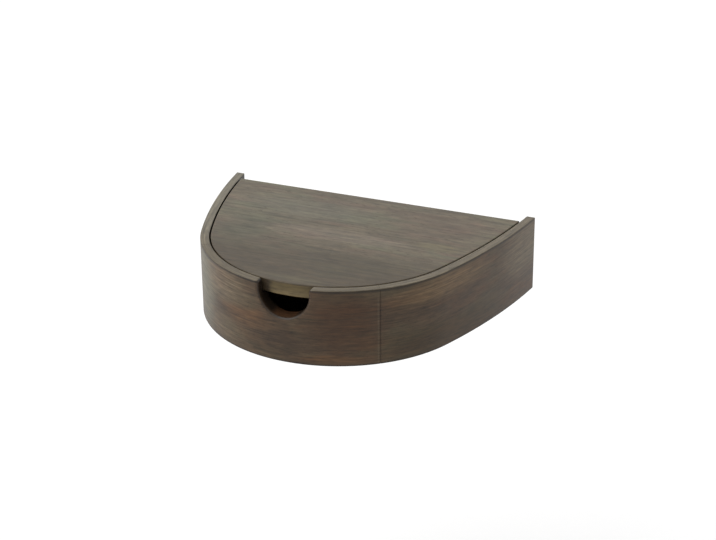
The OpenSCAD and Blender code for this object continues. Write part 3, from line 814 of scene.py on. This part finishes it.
def sheet_steel(name, code, roughness, spangle):
    """Worked steel: plated, oiled or polished, by its colour, roughness and size of spangle.

    To the eye: cool and bright, a little cloudy from its plating or oil, with fine lines from the
    rolls.
    """
    material, tree, surface = new_material(name)
    place = add(tree, "TexCoord").outputs["Object"]
    clouds = add(tree, "TexNoise", {"Vector": place, "Scale": 1 / spangle, "Detail": 3.0})
    turned = add(tree, "Mapping", {"Vector": place, "Rotation": (0, 0, ALONG_Y)})
    lines = grain_noise(tree, turned, 60 * MM, 0.8 * MM, detail=2)
    tone = weigh(tree, [(clouds, 0.9), (lines, 0.7)])
    bright = linear(code)
    dull = tuple(0.72 * part for part in bright[:3]) + (1.0,)
    colour = add(tree, "Mix", {0: tone, MIX_A: dull, MIX_B: bright}, data_type="RGBA")
    shine = add(tree, "MapRange", {
        "Value": tone, "To Min": roughness + 0.08, "To Max": roughness - 0.06
    })
    bump = add(tree, "Bump", {"Strength": 0.1, "Distance": 0.02 * MM, "Height": lines})
    tree.links.new(colour.outputs[MIX_RESULT], surface.inputs["Base Color"])
    tree.links.new(shine.outputs[0], surface.inputs["Roughness"])
    tree.links.new(bump.outputs[0], surface.inputs["Normal"])
    surface.inputs["Metallic"].default_value = 1.0
    return material


def moulded_rubber():
    """Moulded rubber of the two stop pads.

    To the eye: nearly black and matt, with a fine even tooth from the mould.
    """
    material, tree, surface = new_material("moulded rubber, matt black")
    place = add(tree, "TexCoord").outputs["Object"]
    tooth = add(tree, "TexNoise", {"Vector": place, "Scale": 1 / (0.6 * MM), "Detail": 2.0})
    colour = add(tree, "ValToRGB", {"Fac": tooth}, stops=[(0.3, "#17171a"), (0.7, "#26262a")])
    shine = add(tree, "MapRange", {"Value": tooth, "To Min": 0.72, "To Max": 0.9})
    bump = add(tree, "Bump", {"Strength": 0.3, "Distance": 0.05 * MM, "Height": tooth})
    tree.links.new(colour.outputs["Color"], surface.inputs["Base Color"])
    tree.links.new(shine.outputs[0], surface.inputs["Roughness"])
    tree.links.new(bump.outputs[0], surface.inputs["Normal"])
    surface.inputs["IOR"].default_value = 1.5
    return material


# Pieces

rim_material = rim_wood()
for node, piece in [
    ("front_wall", front_wall()),
    ("right_wall", side_wall("right_wall_bent", 1, RIGHT_SEAM_RUN)),
    ("left_wall", side_wall("left_wall_bent", -1, LEFT_SEAM_RUN)),
]:
    piece.data.materials.append(rim_material)
    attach(piece, "drawer")
    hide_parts(node)

top = top_board()
top.data.materials.append(top_wood())
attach(top, "carcass")
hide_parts("top_panel")

# Boards and pressed steel whose square edges are eased: nodes, body, slot, material, easing
frame_across = board_wood("stained board along X, matt", STAINED, ALONG_X, 0.55)
frame_along = board_wood("stained board along Y, matt", STAINED, ALONG_Y, 0.55)
rail = board_wood("hardwood rail along X, thin stain", RAIL, ALONG_X, 0.6)
box_across = board_wood("drawer board along X, matt", STAINED, ALONG_X, 0.5)
box_along = board_wood("drawer board along Y, matt", STAINED, ALONG_Y, 0.5)
slide_steel = sheet_steel("zinc-plated steel strip, rolled", "#c4c7ca", 0.32, 5 * MM)
cage_steel = sheet_steel("steel strip, pressed, oiled", "#85878b", 0.4, 3 * MM)
ball_steel = sheet_steel("bearing steel, polished", "#d6d7d9", 0.12, 2 * MM)
screw_steel = sheet_steel("zinc-plated steel, cold formed", "#bdbbb0", 0.3, 2 * MM)
rubber = moulded_rubber()
dowel_wood = board_wood("turned beech dowel", PALE, ALONG_X, 0.6)

for nodes, body, slot, material, easing in [
    (["wall_cleat"], "carcass", "frame_wood", rail, BOARD_EASE),
    (["hanging_cleat", "back_board"], "carcass", "frame_wood", frame_across, BOARD_EASE),
    (["hanger_left", "hanger_right"], "carcass", "frame_wood", frame_along, BOARD_EASE),
    (["drawer_back"], "drawer", "box_wood", box_across, BOARD_EASE),
    (["drawer_side_left", "drawer_side_right"], "drawer", "box_wood", box_along, BOARD_EASE),
    (["slide_outer_left", "slide_outer_right"], "carcass", "slide_steel", slide_steel, STEEL_EASE),
    (["slide_middle_left"], "middle_left", "slide_steel", slide_steel, STEEL_EASE),
    (["slide_middle_right"], "middle_right", "slide_steel", slide_steel, STEEL_EASE),
    (["slide_inner_left", "slide_inner_right"], "drawer", "slide_steel", slide_steel, STEEL_EASE),
    (["stop_pads"], "carcass", "pad_rubber", rubber, BOARD_EASE),
]:
    for node in nodes:
        piece = eased_copy(node, easing)
        piece.data.materials.append(material)
        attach(piece, body)
        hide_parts(node)

# Screws, each where its CAD node has it: the pan heads of the slides, then the countersunk ones
PAN_HEAD_R, PAN_HEAD_H, PAN_SHANK_R, PAN_LENGTH = 3.5 * MM, 1.4 * MM, 1.75 * MM, 10.2 * MM
PAN_INSET = 25 * MM
STEEL_T = 1.2 * MM
WOOD_HEAD_R, WOOD_SHANK_R = 4 * MM, 2 * MM
BOX_HEAD_R, BOX_SHANK_R = 3 * MM, 1.5 * MM
CLEAT_SCREW_PITCH = 110 * MM
SIDE_SCREW_L = 35 * MM

outer_low, outer_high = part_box("slide_outer_right")
inner_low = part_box("slide_inner_right")[0]
slide_z = (outer_low.z + outer_high.z) / 2
slide_screw_y = [outer_high.y - PAN_INSET, (outer_low.y + outer_high.y) / 2, outer_low.y + PAN_INSET]
outer_x = outer_high.x - STEEL_T
inner_x = inner_low.x + STEEL_T
pan = screw_rings(PAN_HEAD_R, PAN_HEAD_H, PAN_SHANK_R, PAN_LENGTH)
hanger_low, hanger_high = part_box("hanger_screws")
hanger_x = hanger_high.x - WOOD_HEAD_R
cleat_low, cleat_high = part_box("cleat_screws")
cleat_x = cleat_high.x - WOOD_HEAD_R
side_low, side_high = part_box("side_screws")
under_low, under_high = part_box("bottom_screws")
under_x = under_high.x - BOX_HEAD_R
SIDES = (-1, 1)

screw_sets = [
    ("outer_slide_screws", "carcass", pan, [
        ((s * outer_x, y, slide_z), (-s, 0, 0)) for s in SIDES for y in slide_screw_y
    ]),
    ("inner_slide_screws", "drawer", pan, [
        ((s * inner_x, y, slide_z), (s, 0, 0)) for s in SIDES for y in slide_screw_y
    ]),
    ("hanger_screws", "carcass", screw_rings(
        WOOD_HEAD_R, 0, WOOD_SHANK_R, hanger_high.y - hanger_low.y
    ), [
        ((s * hanger_x, hanger_high.y, z), (0, 1, 0))
        for s in SIDES for z in (hanger_low.z + WOOD_HEAD_R, hanger_high.z - WOOD_HEAD_R)
    ]),
    ("cleat_screws", "carcass", screw_rings(
        WOOD_HEAD_R, 0, WOOD_SHANK_R, cleat_high.y - cleat_low.y
    ), [
        ((s * x, cleat_high.y, (cleat_low.z + cleat_high.z) / 2), (0, 1, 0))
        for s in SIDES for x in (cleat_x, CLEAT_SCREW_PITCH / 2)
    ]),
    ("side_screws", "drawer", screw_rings(BOX_HEAD_R, 0, BOX_SHANK_R, SIDE_SCREW_L), [
        ((s * side_high.x, (side_low.y + side_high.y) / 2, z), (s, 0, 0))
        for s in SIDES for z in (side_low.z + BOX_HEAD_R, side_high.z - BOX_HEAD_R)
    ]),
    ("bottom_screws", "drawer", screw_rings(
        BOX_HEAD_R, 0, BOX_SHANK_R, under_high.z - under_low.z
    ), [
        ((s * under_x, y, under_low.z), (0, 0, -1))
        for s in SIDES
        for y in (under_high.y - BOX_HEAD_R, slide_screw_y[1], under_low.y + BOX_HEAD_R)
    ]),
]
for node, body, rings, places in screw_sets:
    piece = screws(node + "_cut", rings, places)
    piece.data.materials.append(screw_steel)
    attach(piece, body)
    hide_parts(node)

# Nodes that stay as the CAD has them, with their finish
for name, material in [
    ("drawer_bottom", box_across), ("dowels", dowel_wood),
    ("ball_cage", cage_steel), ("balls", ball_steel),
]:
    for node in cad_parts:
        if name in node:
            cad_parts[node].data.materials.clear()
            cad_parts[node].data.materials.append(material)


# Camera, at the photograph's angle: it turns about a point in the middle of the table
CAMERA_TURN = math.radians(23.136)
CAMERA_RISE = math.radians(24.637)
CAMERA_ROLL = math.radians(-0.512)
CAMERA_AWAY = 2485.9 * MM
CAMERA_AIM = Vector((0, -121 * MM, 14 * MM))
CAMERA_RIGHT = 13.15 * MM
CAMERA_UP = -1.0 * MM
PHOTO_WIDTH_PX = 716
FOCAL_PX = 1830.9
SENSOR = 36.0

forward = Vector((
    -math.sin(CAMERA_TURN) * math.cos(CAMERA_RISE),
    math.cos(CAMERA_TURN) * math.cos(CAMERA_RISE),
    -math.sin(CAMERA_RISE),
))
level = Vector((math.cos(CAMERA_TURN), math.sin(CAMERA_TURN), 0))
upright = level.cross(forward)
right = level * math.cos(CAMERA_ROLL) + upright * math.sin(CAMERA_ROLL)
over = upright * math.cos(CAMERA_ROLL) - level * math.sin(CAMERA_ROLL)
camera_data = bpy.data.cameras.new("camera")
camera_data.sensor_width = SENSOR
camera_data.lens = FOCAL_PX * SENSOR / PHOTO_WIDTH_PX
camera = bpy.data.objects.new("camera", camera_data)
bpy.context.scene.collection.objects.link(camera)
camera_place = CAMERA_AIM - forward * CAMERA_AWAY + right * CAMERA_RIGHT + over * CAMERA_UP
camera_turn = Matrix((right, over, -forward)).transposed().to_4x4()
camera.matrix_world = Matrix.Translation(camera_place) @ camera_turn
bpy.context.scene.camera = camera


# Floor and light. The table hangs at bedside height over a pale floor.
FLOOR_Z = -550 * MM
FLOOR_HALF = 12.0
FLOOR_GLOW = 0.45
SKY_STRENGTH = 0.5
LAMP_STRENGTH = 1.8
LAMP_ANGLE = math.radians(60)
LAMP_FROM = Vector((-0.7, -0.3, 1.0))


def seen_directly(tree):
    """1 for rays from the eye, in reflections and through glass, and 0 for light on its way."""
    path = add(tree, "LightPath")
    total = add(tree, "Math", {
        0: path.outputs["Is Camera Ray"], 1: path.outputs["Is Glossy Ray"]
    }, operation="ADD")
    return add(tree, "Math", {
        0: total, 1: path.outputs["Is Transmission Ray"]
    }, operation="ADD", use_clamp=True)


floor_mesh = bpy.data.meshes.new("floor")
floor_mesh.from_pydata([
    (x * FLOOR_HALF, y * FLOOR_HALF, FLOOR_Z) for x, y in [(-1, -1), (1, -1), (1, 1), (-1, 1)]
], [], [(0, 1, 2, 3)])
floor = bpy.data.objects.new("floor", floor_mesh)
bpy.context.scene.collection.objects.link(floor)
floor_material, floor_tree, paint = new_material("matt white floor paint")
paint.inputs["Base Color"].default_value = linear("#cfcfcf")
paint.inputs["Roughness"].default_value = 0.9
paint.inputs["Emission Color"].default_value = (1.0, 1.0, 1.0, 1.0)
glow = add(floor_tree, "Math", {
    0: seen_directly(floor_tree), 1: FLOOR_GLOW
}, operation="MULTIPLY")
floor_tree.links.new(glow.outputs[0], paint.inputs["Emission Strength"])
floor_mesh.materials.append(floor_material)

lamp_data = bpy.data.lights.new("soft lamp", "SUN")
lamp_data.energy = LAMP_STRENGTH
lamp_data.angle = LAMP_ANGLE
lamp = bpy.data.objects.new("soft lamp", lamp_data)
lamp.rotation_euler = LAMP_FROM.to_track_quat("Z", "Y").to_euler()
bpy.context.scene.collection.objects.link(lamp)

world = bpy.data.worlds.new("studio")
bpy.context.scene.world = world
world.use_nodes = True
sky = world.node_tree
sky.nodes.clear()
soft = add(sky, "Background", {"Color": (1, 1, 1, 1), "Strength": SKY_STRENGTH})
white = add(sky, "Background", {"Color": (1, 1, 1, 1), "Strength": 1.0})
mixed = add(sky, "MixShader", {0: seen_directly(sky), 1: soft, 2: white})
add(sky, "OutputWorld", {"Surface": mixed})

bpy.context.scene.view_settings.view_transform = "Standard"
